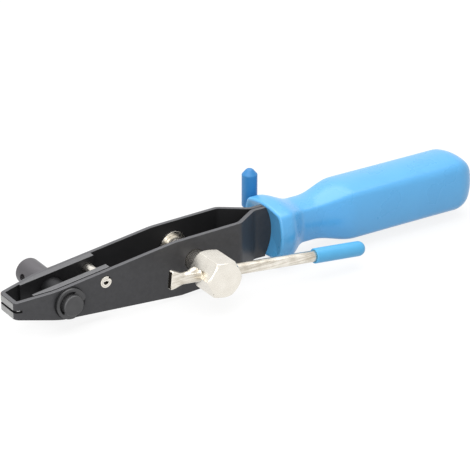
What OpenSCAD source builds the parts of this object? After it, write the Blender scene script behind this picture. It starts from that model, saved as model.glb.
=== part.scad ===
// Band-clamp pliers: a hand tool that winds a steel band tight and shears off its tail.
// Frame: the origin is on the winding spindle's axis in the middle of the body, +X runs along the
// handle, +Z is the open top of the body and -Y is the side of the hexagon head.

/* [Body strip] */
// Thickness of the bent steel strip
strip_t = 2.1; // [1.8:0.1:2.5]
// Width of the body over both walls
body_w = 21.6; // [20.6:0.2:24]
// Width of the nose over both walls
nose_w = 14.4; // [13:0.2:17]
// Distance of the nose face ahead of the spindle axis
nose_reach = 88.4; // [76:0.2:100]
// Length of the taper behind the nose face
taper_len = 18.4; // [17:0.2:22]
// Distance behind the spindle axis where the walls turn inwards
rear_bend_reach = 24.5; // [22:0.5:28]
// Distance behind the spindle axis where the two ends of the strip meet
tang_reach = 37; // [35:0.5:41]
// Slit left between the two ends of the strip
tang_slit = 0.3; // [0.2:0.05:0.6]
// Middle radius of the two bends at the nose
nose_bend_r = 1.4; // [1.3:0.1:2.6]
// Middle radius of the gentle bend where the taper starts
taper_bend_r = 24; // [16:1:40]
// Middle radius of the bends behind the spindle
rear_bend_r = 5; // [4:0.5:7]
// Height of the top edge over the spindle axis at the nose
nose_top = 0.1; // [-1:0.1:1]
// Height of the top edge over the spindle axis at its crest
wall_top = 10.8; // [10:0.05:11.6]
// Height of the top edge over the spindle axis where the walls turn inwards
rear_top = 11.7; // [11:0.1:12.6]
// Height of the top edge over the spindle axis at the tang
tang_top = 11.5; // [11.2:0.1:13.2]
// Distance of the crest of the top edge ahead of the spindle axis
crest_reach = 10.3; // [7:0.1:14]
// Radius that rounds the crest of the top edge
crest_round_r = 40; // [20:1:60]
// Depth of the lower lip below the spindle axis
lip_depth = 7.2; // [6.4:0.1:8]
// Depth of the bottom edge where the chin ends
chin_depth = 11.6; // [11:0.1:13]
// Length of the chin behind the nose face
chin_len = 21.6; // [19:0.2:24]
// Depth of the bottom edge at its lowest corner
belly_depth = 15.9; // [15:0.1:17]
// Distance ahead of the spindle axis of the lowest corner
belly_reach = 7; // [4:0.2:12]
// Depth of the bottom edge at the tang
tang_depth = 13; // [12:0.1:13.4]
// Radius that rounds the corners of the side outline
edge_round_r = 6; // [3:0.5:9]
// Height of the narrow tongue of the tang inside the handle
tongue_h = 13; // [10:0.5:14]
// Length of the tongue inside the handle
tongue_len = 64; // [40:1:80]

/* [Nose slot] */
// Thickness of the saw cut that takes the band
nose_slot_t = 1.2; // [1:0.1:1.8]
// Depth of the saw cut from the nose face
nose_slot_depth = 3.4; // [2.8:0.1:4.6]
// Depth of the saw cut's middle below the spindle axis
nose_slot_drop = 3.9; // [3.4:0.1:4.4]

/* [Side plates] */
// Clear width between the two hardened side plates
channel_w = 10.6; // [10:0.1:12]
// Distance of the side plates' front ends behind the nose face
plate_setback = 9.4; // [8:0.2:12]
// Length of the side plates
plate_len = 36.7; // [35.5:0.2:39.3]
// Height that the side plates stand over the walls
plate_rise = 0.3; // [0:0.1:0.6]
// Height that the bottom edges of the side plates lie over those of the walls
plate_inset = 0.6; // [0.3:0.1:1.5]

/* [Roll pin] */
// Outer radius of the coiled spring pin
roll_pin_r = 2.7; // [2.5:0.05:2.9]
// Thickness of the strip that the spring pin is coiled from
roll_pin_strip_t = 0.7; // [0.5:0.05:0.75]
// Gap between the turns of the spring pin
roll_pin_gap = 0.06; // [0.04:0.01:0.12]
// Distance of the spring pin behind the cutter shaft
roll_pin_pitch = 18.2; // [16:0.1:19]
// Height of the spring pin over the spindle axis
roll_pin_rise = 1.1; // [0.5:0.1:2]
// Height that each end of the spring pin stands over the wall
roll_pin_proud = 0.4; // [0.2:0.1:1]

/* [Cutter] */
// Radius of the cutter shaft
cutter_r = 4.8; // [4.4:0.05:5.2]
// Distance of the cutter shaft behind the nose face
cutter_setback = 24.6; // [24.2:0.1:26.4]
// Depth of the cutter shaft below the spindle axis
cutter_drop = 4; // [3.4:0.1:4.6]
// Length of shaft that stands out of the near wall
cutter_nose_len = 4.5; // [3.4:0.1:5.5]
// Wall of the fixed bush that the cutter shaft turns in
bush_wall = 0.7; // [0.6:0.1:1.5]
// Distance that each end of the bush stays inside the wall
bush_end_gap = 0.4; // [0.3:0.1:1.2]
// Thickness of the band window in the shaft and the bush
cutter_slot_t = 1.8; // [1.4:0.1:2.2]
// Radius of the knob outside the far wall
knob_r = 6.2; // [5.8:0.1:6.8]
// Length of the knob
knob_len = 15.8; // [12.4:0.1:17]
// Chamfer on the knob's rims
knob_chamfer = 0.9; // [0.4:0.1:1.4]
// Distance of the lever hole from the knob's inner face
lever_hole_offset = 8.6; // [6:0.1:9.6]
// Thickness of the retaining rings
ring_t = 1.2; // [1:0.1:1.5]
// Outer radius of the cutter's retaining ring
cutter_ring_r = 7.1; // [6.8:0.05:7.6]
// Radius of the recess inside the cutter's retaining ring, between its two lugs
cutter_ring_recess_r = 5.7; // [5.3:0.05:6.2]
// Thickness of the washer between the near wall and the cutter's retaining ring
cutter_washer_t = 0.7; // [0.5:0.05:1]
// Outer radius of the washer between the near wall and the cutter's retaining ring
cutter_washer_r = 7.4; // [6.8:0.1:7.8]
// Thickness of the washer between the far wall and the knob
knob_washer_t = 1; // [0.6:0.1:1.4]
// Outer radius of the washer between the far wall and the knob
knob_washer_r = 6.2; // [5.8:0.1:6.6]
// Depth of the retaining-ring grooves
groove_depth = 0.8; // [0.5:0.05:1]

/* [Lever] */
// Radius of the lever rod
lever_r = 2.3; // [2.2:0.05:2.6]
// Distance of the lever's upright end behind the spindle axis
lever_end_reach = 49.7; // [47:0.1:54]
// Middle radius of the bend in the lever
lever_bend_r = 6.5; // [5:0.5:9]
// Height of the top of the lever's cap over the spindle axis
lever_top = 21; // [18:0.1:30]
// Outer radius of the lever's cap
lever_cap_r = 3.7; // [3.2:0.05:4]
// Radius of the pin that holds the lever in the knob
lever_pin_r = 1.25; // [0.8:0.05:1.5]
// Distance that the pin reaches past the middle of the lever
lever_pin_reach = 4.2; // [3.2:0.1:4.6]
// Radius of the flat top of the lever's cap
lever_cap_flat_r = 1.6; // [1.2:0.1:2.6]
// Height of the chamfer at the top of the lever's cap
lever_cap_chamfer = 2.6; // [1.5:0.1:3.5]

/* [Winding spindle] */
// Size of the hexagon head across its flats
hex_af = 16; // [15:0.1:17]
// Length of the hexagon head
hex_len = 17.1; // [14:0.1:20]
// Radius of the flat on the hexagon head's outer end
hex_face_r = 7.7; // [7.2:0.1:7.9]
// Length of the chamfers at the hexagon head's corners
hex_chamfer = 1.4; // [0.8:0.1:2]
// Distance between the near wall and the hexagon head
neck_len = 8.7; // [7:0.1:11]
// Radius of the spindle
spindle_r = 4.9; // [4.6:0.05:5.4]
// Radius of the journal that runs in the far wall
journal_r = 3.5; // [3.2:0.05:4]
// Thickness of the band slot across the spindle
spindle_slot_t = 1.7; // [1.2:0.1:2.2]
// Width of the band slot along the spindle
spindle_slot_w = 10.2; // [9:0.1:11]
// Thickness of the thrust washer inside the far wall
washer_t = 1.4; // [1:0.1:1.5]
// Outer radius of the thrust washer
washer_r = 6.6; // [6:0.1:7]
// Thickness of the washer outside the far wall
journal_washer_t = 1; // [0.6:0.1:1.4]
// Outer radius of the washer outside the far wall
journal_washer_r = 6; // [5.4:0.1:6.6]
// Outer radius of the spindle's retaining ring
spindle_ring_r = 5.4; // [5:0.1:6]

/* [Sliding bar] */
// Radius of the sliding bar
bar_r = 2.65; // [2.3:0.05:2.9]
// Distance of the bar's axis from the inner end of the hexagon head
bar_offset = 7.5; // [6.5:0.1:8.5]
// Downward tilt of the bar's long side in degrees
bar_tilt = 6; // [0:1:15]
// Length of the bar ahead of the spindle axis
bar_front_len = 23; // [20:0.5:34]
// Length of the flattened end of the bar
flat_len = 6.6; // [4:0.1:8]
// Height of the flattened end of the bar
flat_h = 8.5; // [7:0.1:9.5]
// Thickness of the flattened end of the bar
flat_t = 3.2; // [2.4:0.1:4]
// Height of the barb raised on the bar as its stop
barb_h = 1.7; // [1:0.1:2]
// Length of the barb
barb_len = 4; // [3:0.1:5]
// Free travel between the barb and the hexagon head
barb_play = 2.6; // [0.8:0.1:3]
// Distance of the cap's open end behind the spindle axis
bar_cap_reach = 53.6; // [50:0.2:80]
// Length of the bar's cap
bar_cap_len = 28; // [20:0.2:36]
// Outer radius of the bar's cap
bar_cap_r = 3.5; // [3.3:0.05:4]
// Thickness of the closed end of both caps
cap_end_t = 2.6; // [2:0.1:4]

/* [Handle] */
// Distance of the handle's front face behind the spindle axis
handle_front_reach = 43.6; // [43:0.2:48]
// Length of the handle
handle_len = 115.6; // [100:0.5:130]
// Half of the handle's width over its flats at the thickest place
grip_half = 13.6; // [12:0.1:15]
// Half of the handle's width at its rear end
tail_half = 13.9; // [12:0.1:14.4]
// Half of the width of the front flange across the tool
flange_half_w = 16; // [14:0.1:16.4]
// Half of the height of the front flange
flange_half_h = 12.9; // [12.8:0.1:14.4]
// Depth of the hollow in the flange's front face
dish_depth = 3; // [1:0.1:4]
// Half of the width of the neck
neck_half = 9.6; // [9:0.1:11]
// Radius of the bulge of the handle's four sides
side_r = 32; // [26:1:60]
// Radius of the handle's four long corners at the neck
corner_r = 3.6; // [2:0.1:5]
// Radius of the handle's four long corners at the rear end
tail_corner_r = 6.5; // [5:0.5:11]
// Thickness of the front flange
flange_len = 5.2; // [3:0.1:6]
// Radius that rounds the flange's front rim
flange_round_r = 1.2; // [0.6:0.1:1.5]
// Length of the curve between the flange and the neck
cove_len = 12.5; // [8:0.5:14]
// Length of the slim neck
neck_run = 5; // [2:0.5:8]
// Length of the curve between the neck and the grip
swell_len = 22; // [16:0.5:28]
// Length of the rounded end
dome_len = 12; // [8:0.5:16]
// Height of the curve on the rounded end
dome_round = 11; // [6:0.1:12]

/* [Fits] */
// Radial clearance of what turns or slides
run_gap = 0.05; // [0.03:0.01:0.08]
// Clearance of what is pressed, moulded or riveted in place
seat_gap = 0.02; // [0.01:0.01:0.05]
// Clearance between turning faces
face_gap = 0.1; // [0.08:0.01:0.2]

/* [Hidden] */
$fn = 72;

overrun = 2;
soft_fn = 32;
bend_steps = 6;
coil_start = 55;
coil_step = 12;
coil_angle = 828;
steel_black = "#3c3c3e";
steel_grey = "#6b6a6b";
nickel = "#ddd7ca";
blue = "#3f97e2";

wall_y = body_w / 2;
inner_y = wall_y - strip_t;
mid_y = wall_y - strip_t / 2;
nose_y = nose_w / 2 - strip_t / 2;
tang_y = tang_slit / 2 + strip_t / 2;
tang_end = handle_front_reach + dish_depth;
tang_inner_depth = flange_half_h - flange_round_r - seat_gap;
tongue_end = handle_front_reach + tongue_len;
taper_reach = nose_reach - taper_len;
chin_reach = nose_reach - chin_len;
plate_front_reach = nose_reach - plate_setback;
plate_rear_reach = plate_front_reach - plate_len;
cutter_reach = nose_reach - cutter_setback;
roll_pin_reach = cutter_reach - roll_pin_pitch;
body_path = [[tongue_end, -tang_y], [tang_reach, -tang_y], [rear_bend_reach, -mid_y],
    [-taper_reach, -mid_y], [strip_t / 2 - nose_reach, -nose_y],
    [strip_t / 2 - nose_reach, nose_y], [-taper_reach, mid_y],
    [rear_bend_reach, mid_y], [tang_reach, tang_y], [tongue_end, tang_y]];
body_bends = [rear_bend_r, rear_bend_r, taper_bend_r, nose_bend_r,
    nose_bend_r, taper_bend_r, rear_bend_r, rear_bend_r];
band_tilt = atan(cutter_drop / cutter_reach);

bush_r = cutter_r + run_gap + bush_wall;
cutter_near_y = wall_y + cutter_nose_len;
knob_y = wall_y + 2 * face_gap + knob_washer_t;
knob_end = knob_y + knob_len;
lever_y = knob_y + lever_hole_offset;
cutter_ring_y = wall_y + 2 * face_gap + cutter_washer_t;
spindle_ring_y = wall_y + 2 * face_gap + journal_washer_t;
shoulder_y = inner_y - washer_t - 2 * face_gap;
journal_end_y = spindle_ring_y + 2 * ring_t;
head_y = wall_y + neck_len;
bar_y = head_y + bar_offset;
hex_r = hex_af / 2 / cos(30);
barb_tip_z = bar_r + barb_h;
barb_x = hex_r - bar_r * tan(30) + barb_play;
bar_end = bar_cap_reach + bar_cap_len - cap_end_t;
lever_rise = lever_top - cap_end_t - lever_cap_chamfer;
tail_x = handle_front_reach + handle_len;

// A vector of length one along v
function unit(v) = v / norm(v);
// The direction to the left of a plan direction
function left_of(v) = [-v[1], v[0]];
// A plan point turned about the origin
function turned(p, a) = [p[0] * cos(a) - p[1] * sin(a), p[0] * sin(a) + p[1] * cos(a)];
// A list in the opposite order
function reversed(list) = [for (i = [len(list) - 1 : -1 : 0]) list[i]];
// Points of the round bend at b between a and c, moved to the left of the bend's middle line
function bend_points(a, b, c, r, shift) =
    let (u = unit(b - a), v = unit(c - b), bend = atan2(u[0] * v[1] - u[1] * v[0], u * v))
    let (side = bend < 0 ? -1 : 1)
    let (centre = b - u * r * tan(abs(bend) / 2) + left_of(u) * side * r)
    [for (k = [0 : bend_steps])
        centre - turned(left_of(u), bend * k / bend_steps) * side * (r - side * shift)];
// One edge of a strip that follows a bent path, moved to the left of the path
function strip_edge(path, radii, shift) =
    let (last = len(path) - 1)
    concat([path[0] + left_of(unit(path[1] - path[0])) * shift],
        [for (i = [1 : last - 1])
            each bend_points(path[i - 1], path[i], path[i + 1], radii[i - 1], shift)],
        [path[last] + left_of(unit(path[last] - path[last - 1])) * shift]);
// Smooth step from 0 to 1
function ease(s) = (1 - cos(180 * s)) / 2;
// Height of the straight top edge between the nose and the crest
function top_z(x) =
    nose_top + (wall_top - nose_top) * (x + nose_reach) / (nose_reach - crest_reach);
// Closed side outline of the body between the nose and the tang
function side_outline() = concat(
    [[-nose_reach - overrun, nose_top], [-nose_reach, nose_top]],
    bend_points([-nose_reach, nose_top], [-crest_reach, wall_top], [rear_bend_reach, rear_top],
        crest_round_r, 0),
    [[rear_bend_reach, rear_top], [tang_reach, tang_top], [tang_end, tang_top],
        [tang_end, tongue_h / 2],
        [tongue_end + overrun, tongue_h / 2], [tongue_end + overrun, -tongue_h / 2],
        [tang_end, -tongue_h / 2], [tang_end, -tang_inner_depth],
        [handle_front_reach - seat_gap, -tang_inner_depth],
        [handle_front_reach - seat_gap, -tang_depth],
        [tang_reach, -tang_depth]],
    bend_points([tang_reach, -tang_depth], [-belly_reach, -belly_depth],
        [-chin_reach, -chin_depth], edge_round_r, 0),
    bend_points([-belly_reach, -belly_depth], [-chin_reach, -chin_depth],
        [-nose_reach, -lip_depth], edge_round_r, 0),
    [[-nose_reach - overrun, -lip_depth]]);
// Side outline of a side plate: the body's own, a little higher at its top and bottom edges
function plate_outline() = [
    [-plate_front_reach, top_z(-plate_front_reach) + plate_rise],
    [-plate_rear_reach, top_z(-plate_rear_reach) + plate_rise],
    [-plate_rear_reach, plate_bottom_z(-plate_rear_reach)],
    [-chin_reach, plate_inset - chin_depth],
    [-plate_front_reach, plate_chin_z(-plate_front_reach)]];
// Height of the side plates' bottom edge under the belly and under the chin
function plate_bottom_z(x) = plate_inset - chin_depth
    - (belly_depth - chin_depth) * (x + chin_reach) / (chin_reach - belly_reach);
function plate_chin_z(x) = plate_inset - chin_depth
    + (chin_depth - lip_depth) * (-chin_reach - x) / (nose_reach - chin_reach);

// An upright wall of the plan outline, taller than the body
module plan_prism(points) {
    translate([0, 0, -belly_depth - overrun])
        linear_extrude(belly_depth + tang_top + 2 * overrun)
            polygon(points);
}
// A side outline carried through the whole width of the body
module side_prism(points) {
    rotate([90, 0, 0])
        linear_extrude(body_w + 2 * overrun, center = true)
            polygon(points);
}
// A cylinder along +Y that starts at y
module y_cylinder(r, y, len) {
    translate([0, y, 0])
        rotate([-90, 0, 0])
            cylinder(h = len, r = r);
}
// A turned piece along +Y: its profile lists [radius, y]
module y_turned(profile) {
    rotate([-90, 0, 0])
        rotate_extrude()
            polygon([for (p = profile) [p[0], p[1]]]);
}
module at_cutter() {
    translate([-cutter_reach, 0, -cutter_drop])
        children();
}
module at_roll_pin() {
    translate([-roll_pin_reach, 0, roll_pin_rise])
        children();
}
// A plain washer along +Y that starts at y
module washer(r, bore_r, y, t) {
    difference() {
        y_cylinder(r, y, t);
        y_cylinder(bore_r, y - overrun, t + 2 * overrun);
    }
}
// An open retaining ring that is pushed on from the side. Its mouth points along +X; two lugs
// beside the mouth grip the groove and the back between them is cut wider
module retaining_ring(r, bore_r, recess_r, y) {
    cut_t = ring_t + 2 * overrun;
    mouth = bore_r * cos(30);
    difference() {
        y_cylinder(r, y, ring_t);
        y_cylinder(bore_r, y - overrun, cut_t);
        intersection() {
            y_cylinder(recess_r, y - overrun, cut_t);
            translate([-r - bore_r * cos(75), y - overrun, -r])
                cube([r, cut_t, 2 * r]);
        }
        translate([0, y - overrun, -mouth])
            cube([r + overrun, cut_t, 2 * mouth]);
        translate([r * cos(45), y - overrun, -r])
            cube([r, cut_t, 2 * r]);
    }
}

module body_strip() {
    color(steel_black)
    difference() {
        intersection() {
            plan_prism(concat(strip_edge(body_path, body_bends, strip_t / 2),
                reversed(strip_edge(body_path, body_bends, -strip_t / 2))));
            side_prism(side_outline());
        }
        translate([-nose_reach - overrun, -body_w / 2, -nose_slot_drop - nose_slot_t / 2])
            cube([nose_slot_depth + overrun, body_w, nose_slot_t]);
        y_cylinder(spindle_r + run_gap, -wall_y - overrun, body_w / 2);
        y_cylinder(journal_r + run_gap, 0, body_w / 2 + overrun);
        at_cutter()
            y_cylinder(cutter_r + run_gap, -wall_y - overrun, body_w + 2 * overrun);
        at_roll_pin()
            y_cylinder(roll_pin_r + seat_gap, -wall_y - overrun, body_w + 2 * overrun);
    }
}

// Hardened plate between a wall and the band; side is -1 for the near one and 1 for the far one
module side_plate(side) {
    plate_path = [for (i = [2 : 7]) body_path[i]];
    plate_bends = [for (i = [2 : 5]) body_bends[i]];
    color(steel_black)
    difference() {
        intersection() {
            plan_prism(strip_edge(plate_path, plate_bends, -strip_t / 2 - seat_gap));
            side_prism(plate_outline());
            translate([-plate_front_reach, side < 0 ? -wall_y : channel_w / 2, -belly_depth])
                cube([plate_len, wall_y - channel_w / 2, belly_depth + wall_top]);
        }
        at_cutter()
            y_cylinder(bush_r + seat_gap, -wall_y, body_w);
        at_roll_pin()
            y_cylinder(roll_pin_r + seat_gap, -wall_y, body_w);
    }
}
module near_side_plate() {
    side_plate(-1);
}
module far_side_plate() {
    side_plate(1);
}

// Fixed hardened bush across both side plates; its windows are the lower blade of the cutter
module cutter_bush() {
    half = inner_y - bush_end_gap;
    color(steel_grey)
    at_cutter()
        difference() {
            y_cylinder(bush_r, -half, 2 * half);
            y_cylinder(cutter_r + run_gap, -half - overrun, 2 * (half + overrun));
            cube([2 * (bush_r + overrun), channel_w, cutter_slot_t], center = true);
        }
}

// Middle radius of the coiled strip of the spring pin after it has turned by an angle: every turn
// runs round, and its last part steps in under the turn before it
function coil_r(a) =
    let (turns = floor(a / 360), step = max(0, (a - 360 * turns - 300) / 60))
    roll_pin_r - roll_pin_strip_t / 2 - (roll_pin_strip_t + roll_pin_gap) * (turns + ease(step));
// One side of the coiled strip
function coil_edge(shift) =
    [for (a = [0 : coil_step : coil_angle])
        let (r = coil_r(a) + shift) [r * cos(a + coil_start), r * sin(a + coil_start)]];

// Spring pin through the walls and the side plates, coiled from strip like a watch spring
module roll_pin() {
    color(nickel)
    at_roll_pin()
        rotate([90, 0, 0])
            linear_extrude(2 * (wall_y + roll_pin_proud), center = true)
                polygon(concat(coil_edge(roll_pin_strip_t / 2),
                    reversed(coil_edge(-roll_pin_strip_t / 2))));
}

side_steps = 4;
corner_steps = 4;
// The handle's section, one unit wide by half: four bulged sides joined by corners of a radius
function handle_section(corner) =
    let (r = side_r / grip_half, q = corner / grip_half, a = r - 1)
    let (c = (sqrt(2 * (r - q) * (r - q) - a * a) - a) / 2, turn = asin(c / (r - q)))
    let (quarter = concat(
        [for (k = [-side_steps / 2 : side_steps / 2 - 1])
            let (b = 2 * turn * k / side_steps) [r * cos(b) - a, r * sin(b)]],
        [for (k = [0 : corner_steps - 1])
            let (b = turn + (90 - 2 * turn) * k / corner_steps)
            [c + q * cos(b), c + q * sin(b)]]))
    [for (i = [0 : 3]) each [for (p = quarter) turned(p, 90 * i)]];
// Stations along the handle: distance behind the flange's rim, then half width and half height
neck_start = flange_len + cove_len;
swell_start = neck_start + neck_run;
grip_start = swell_len + swell_start;
dome_start = handle_len - dome_len;
dish_shares = [0.15, 0.4, 0.65, 0.85];
handle_stations = concat(
    [for (s = dish_shares)
        [dish_depth * (1 - s * s), (flange_half_w - flange_round_r) * s,
            (flange_half_h - flange_round_r) * s]],
    [for (k = [0 : 3])
        let (in = flange_round_r * (1 - sin(30 * k)))
        [flange_round_r * (1 - cos(30 * k)), flange_half_w - in, flange_half_h - in]],
    [for (k = [0 : 8])
        [flange_len + cove_len * k / 8, flange_half_w - (flange_half_w - neck_half) * ease(k / 8),
            flange_half_h - (flange_half_h - neck_half) * ease(k / 8)]],
    [for (k = [0 : 10])
        let (w = neck_half + (grip_half - neck_half) * ease(k / 10))
        [swell_start + swell_len * k / 10, w, w]],
    [for (k = [1 : 4])
        let (w = grip_half + (tail_half - grip_half) * k / 5)
        [grip_start + (dome_start - grip_start) * k / 5, w, w]],
    [for (k = [0 : 8])
        let (w = tail_half - dome_round * (1 - cos(90 * k / 8)))
        [handle_len - dome_len * (1 - sin(90 * k / 8)), w, w]]);
// Corner radius at a distance behind the flange's rim
function corner_at(x) = corner_r + (tail_corner_r - corner_r)
    * ease(max(0, min(1, (x - swell_start) / (dome_start - swell_start))));

// Moulded handle, a lofted square section with bulged sides, over the tang and its tongue
module handle() {
    m = 4 * (side_steps + corner_steps);
    rings = len(handle_stations);
    slot_y = tang_slit / 2 + strip_t + seat_gap;
    points = [for (s = handle_stations) each [for (p = handle_section(corner_at(s[0])))
        [handle_front_reach + s[0], p[0] * s[1], p[1] * s[2]]]];
    sides = [for (i = [0 : rings - 2], j = [0 : m - 1])
        each [[i * m + j, (i + 1) * m + j, (i + 1) * m + (j + 1) % m],
            [i * m + j, (i + 1) * m + (j + 1) % m, i * m + (j + 1) % m]]];
    front = [for (j = [0 : m - 1]) j];
    back = [for (j = [m - 1 : -1 : 0]) (rings - 1) * m + j];
    color(blue)
    difference() {
        polyhedron(points, concat(sides, [front, back]));
        translate([handle_front_reach - overrun, -slot_y, -tongue_h / 2 - seat_gap])
            cube([tongue_len + overrun + seat_gap, 2 * slot_y, tongue_h + 2 * seat_gap]);
        translate([handle_front_reach - overrun, -slot_y, -tang_inner_depth - seat_gap])
            cube([overrun + dish_depth + seat_gap, 2 * slot_y,
                tang_inner_depth + tang_top + 2 * seat_gap]);
    }
}

// Winding spindle: hexagon head with the bar's cross hole, neck, slotted barrel and journal
module winding_spindle() {
    hex_end_y = -head_y - hex_len;
    groove_y = spindle_ring_y;
    groove_r = journal_r - groove_depth;
    chamfer_r = hex_r + overrun;
    chamfer_len = hex_chamfer * (chamfer_r - hex_face_r) / (hex_r - hex_face_r);
    color(nickel)
    difference() {
        union() {
            rotate([0, bar_tilt, 0])
                intersection() {
                    translate([0, hex_end_y, 0])
                        rotate([-90, 0, 0])
                            cylinder(h = hex_len, r = hex_r, $fn = 6);
                    y_turned([[0, hex_end_y], [hex_face_r, hex_end_y],
                        [chamfer_r, hex_end_y + chamfer_len], [chamfer_r, -head_y - chamfer_len],
                        [hex_face_r, -head_y], [0, -head_y]]);
                }
            y_cylinder(spindle_r, -head_y - overrun, head_y + overrun + shoulder_y);
            y_turned([[0, 0], [journal_r, 0], [journal_r, groove_y], [groove_r, groove_y],
                [groove_r, groove_y + ring_t], [journal_r, groove_y + ring_t],
                [journal_r, journal_end_y - ring_t / 2], [journal_r - ring_t / 2, journal_end_y],
                [0, journal_end_y]]);
        }
        rotate([0, -band_tilt, 0])
            cube([2 * (spindle_r + overrun), spindle_slot_w, spindle_slot_t], center = true);
        rotate([0, bar_tilt, 0])
            translate([-hex_r - overrun, -bar_y, 0])
                rotate([0, 90, 0])
                    cylinder(h = 2 * (hex_r + overrun), r = bar_r + run_gap);
    }
}

// Washer between the barrel of the spindle and the far wall
module thrust_washer() {
    color(nickel)
        washer(washer_r, journal_r + run_gap, shoulder_y + face_gap, washer_t);
}

// Washer between the far wall and the spindle's retaining ring
module journal_washer() {
    color(steel_grey)
        washer(journal_washer_r, journal_r + run_gap, wall_y + face_gap, journal_washer_t);
}

// Open ring in the groove of the journal
module spindle_ring() {
    color(steel_grey)
        rotate([0, 90, 0])
            retaining_ring(spindle_ring_r, journal_r - groove_depth + seat_gap,
                journal_r + seat_gap, spindle_ring_y);
}

// Places a piece on the tilted axis of the sliding bar, with +X along the bar
module at_bar() {
    rotate([0, bar_tilt, 0])
        translate([0, -bar_y, 0])
            children();
}

// Bar that slides through the head: one end flattened, a barb as its stop, the other end capped
module sliding_bar() {
    color(nickel)
    at_bar() {
        translate([flat_len - bar_front_len, 0, 0])
            rotate([0, 90, 0])
                cylinder(h = bar_front_len - flat_len + bar_end, r = bar_r);
        hull() {
            translate([flat_len - bar_front_len, 0, 0])
                rotate([0, 90, 0])
                    cylinder(h = flat_t / 2, r = bar_r, $fn = soft_fn);
            translate([-bar_front_len, -flat_t / 2, -flat_h / 2])
                cube([flat_t / 2, flat_t, flat_h]);
        }
        rotate([90, 0, 0])
            linear_extrude(bar_r, center = true)
                polygon([[-barb_x - barb_len, bar_r - barb_h / 2], [-barb_x, barb_tip_z],
                    [-barb_x + barb_h / 4, bar_r], [-barb_x, bar_r - barb_h / 2]]);
    }
}

// Dipped cap over the long end of the bar
module sliding_bar_cap() {
    end = bar_cap_reach + bar_cap_len;
    inner_r = bar_r + seat_gap;
    color(blue)
    at_bar()
        rotate([0, 90, 0])
            rotate_extrude()
                polygon(concat([[inner_r, bar_cap_reach], [bar_cap_r, bar_cap_reach],
                    [bar_cap_r, end - bar_cap_r]],
                    [for (k = [1 : bend_steps])
                        let (a = 90 * k / bend_steps)
                        [bar_cap_r * cos(a), end - bar_cap_r * (1 - sin(a))]],
                    [[0, bar_end + seat_gap], [inner_r, bar_end + seat_gap]]));
}

// Shaft of the cutter with its band window, ring groove and the knob that holds the lever
module cutter_shaft() {
    groove_y = -cutter_ring_y - ring_t;
    groove_r = cutter_r - groove_depth;
    color(steel_grey)
    at_cutter()
        difference() {
            y_turned([[0, -cutter_near_y], [cutter_r - groove_depth / 2, -cutter_near_y],
                [cutter_r, groove_depth / 2 - cutter_near_y], [cutter_r, groove_y],
                [groove_r, groove_y], [groove_r, groove_y + ring_t],
                [cutter_r, groove_y + ring_t], [cutter_r, knob_y],
                [knob_r - knob_chamfer / 2, knob_y], [knob_r, knob_y + knob_chamfer / 2],
                [knob_r, knob_end - knob_chamfer], [knob_r - knob_chamfer, knob_end],
                [0, knob_end]]);
            cube([2 * (cutter_r + overrun), channel_w, cutter_slot_t], center = true);
            translate([-knob_r - overrun, lever_y, 0])
                rotate([0, 90, 0])
                    cylinder(h = 2 * (knob_r + overrun), r = lever_r + seat_gap);
            translate([0, lever_y, -knob_r - overrun])
                cylinder(h = knob_r + overrun + lever_pin_reach + seat_gap, r = lever_pin_r + seat_gap);
        }
}

// Washer between the near wall and the cutter's retaining ring
module cutter_washer() {
    color(steel_black)
        at_cutter()
            washer(cutter_washer_r, cutter_r + run_gap, -wall_y - face_gap - cutter_washer_t,
                cutter_washer_t);
}

// Open ring in the groove of the cutter shaft; its mouth points down and back
module cutter_ring() {
    color(steel_grey)
        at_cutter()
            rotate([0, 33, 0])
                retaining_ring(cutter_ring_r, cutter_r - groove_depth + seat_gap,
                    cutter_ring_recess_r, -cutter_ring_y - ring_t);
}

// Washer between the far wall and the knob
module knob_washer() {
    color(steel_black)
        at_cutter()
            washer(knob_washer_r, cutter_r + run_gap, wall_y + face_gap, knob_washer_t);
}

// Lever: a round rod held in the knob, bent up at its free end
module lever_rod() {
    front_x = -cutter_reach - knob_r / 2;
    bend_x = lever_end_reach - lever_bend_r;
    color(nickel)
    translate([0, lever_y, -cutter_drop]) {
        difference() {
            translate([front_x, 0, 0])
                rotate([0, 90, 0])
                    cylinder(h = bend_x - front_x, r = lever_r);
            translate([-cutter_reach, 0, -lever_r - overrun])
                cylinder(h = 2 * (lever_r + overrun), r = lever_pin_r + seat_gap);
        }
        translate([bend_x, 0, lever_bend_r])
            rotate([90, 0, 0])
                rotate([0, 0, -90])
                    rotate_extrude(angle = 90)
                        translate([lever_bend_r, 0])
                            circle(r = lever_r);
        translate([lever_end_reach, 0, lever_bend_r])
            cylinder(h = lever_rise + cutter_drop - lever_bend_r, r = lever_r);
    }
}

// Pin driven up from below through the knob and the lever
module lever_pin() {
    color(steel_grey)
        at_cutter()
            translate([0, lever_y, -knob_r + lever_pin_r / 2])
                cylinder(h = knob_r - lever_pin_r / 2 + lever_pin_reach, r = lever_pin_r);
}

// Dipped cap over the upright end of the lever
module lever_cap() {
    inner_r = lever_r + seat_gap;
    low = lever_bend_r - cutter_drop;
    color(blue)
    translate([lever_end_reach, lever_y, 0])
        rotate_extrude()
            polygon([[inner_r, low], [lever_cap_r, low],
                [lever_cap_r, lever_top - lever_cap_chamfer], [lever_cap_flat_r, lever_top],
                [0, lever_top], [0, lever_rise + seat_gap], [inner_r, lever_rise + seat_gap]]);
}

body_strip();
near_side_plate();
far_side_plate();
cutter_bush();
roll_pin();
handle();
winding_spindle();
thrust_washer();
journal_washer();
spindle_ring();
sliding_bar();
sliding_bar_cap();
cutter_shaft();
cutter_washer();
cutter_ring();
knob_washer();
lever_rod();
lever_pin();
lever_cap();
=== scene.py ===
import bmesh
import bpy
import math
from mathutils import Matrix, Vector


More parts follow.
